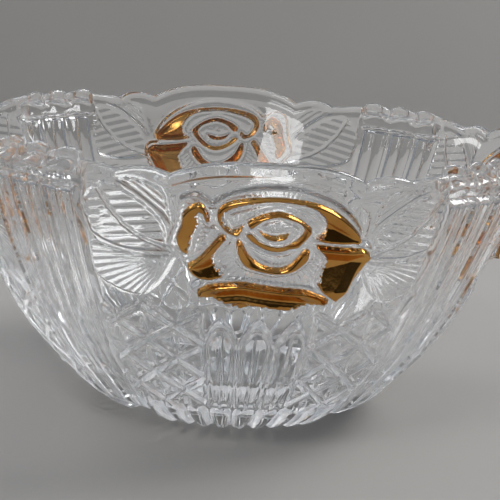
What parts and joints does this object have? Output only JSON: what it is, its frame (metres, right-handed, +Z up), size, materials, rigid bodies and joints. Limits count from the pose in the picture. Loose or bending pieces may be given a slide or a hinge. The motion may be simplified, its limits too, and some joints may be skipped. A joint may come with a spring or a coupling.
{
  "type": "gilded pressed-glass bowl",
  "caption": "Round pressed-glass bowl with a wavy rim, ribbed columns, diamond cutting at the foot and gilded roses in relief.",
  "frame": {"origin": "centre of the ring that the bowl stands on", "axes": "+Z up along the bowl's axis of turning, the front rose faces -Y, +X to the viewer's right"},
  "size_m": [0.2038, 0.2038, 0.1002],
  "materials": {
    "glass": "clear, fire-polished, pressed relief",
    "gilding": "bright fired-on gold, thin and hatched towards its edges"
  },
  "bodies": {
    "root": {"glass_bowl": "glass", "gilt_front_left_petal": "gilding", "gilt_front_lower_left_petal": "gilding", "gilt_front_top_petal": "gilding", "gilt_front_bud": "gilding", "gilt_front_eye": "gilding", "gilt_front_inner_petal": "gilding", "gilt_front_right_petal": "gilding", "gilt_front_bottom_petal": "gilding", "gilt_right_left_petal": "gilding", "gilt_right_lower_left_petal": "gilding", "gilt_right_top_petal": "gilding", "gilt_right_bud": "gilding", "gilt_right_eye": "gilding", "gilt_right_inner_petal": "gilding", "gilt_right_right_petal": "gilding", "gilt_right_bottom_petal": "gilding", "gilt_back_left_petal": "gilding", "gilt_back_lower_left_petal": "gilding", "gilt_back_top_petal": "gilding", "gilt_back_bud": "gilding", "gilt_back_eye": "gilding", "gilt_back_inner_petal": "gilding", "gilt_back_right_petal": "gilding", "gilt_back_bottom_petal": "gilding", "gilt_left_left_petal": "gilding", "gilt_left_lower_left_petal": "gilding", "gilt_left_top_petal": "gilding", "gilt_left_bud": "gilding", "gilt_left_eye": "gilding", "gilt_left_inner_petal": "gilding", "gilt_left_right_petal": "gilding", "gilt_left_bottom_petal": "gilding"}
  },
  "joints": []
}
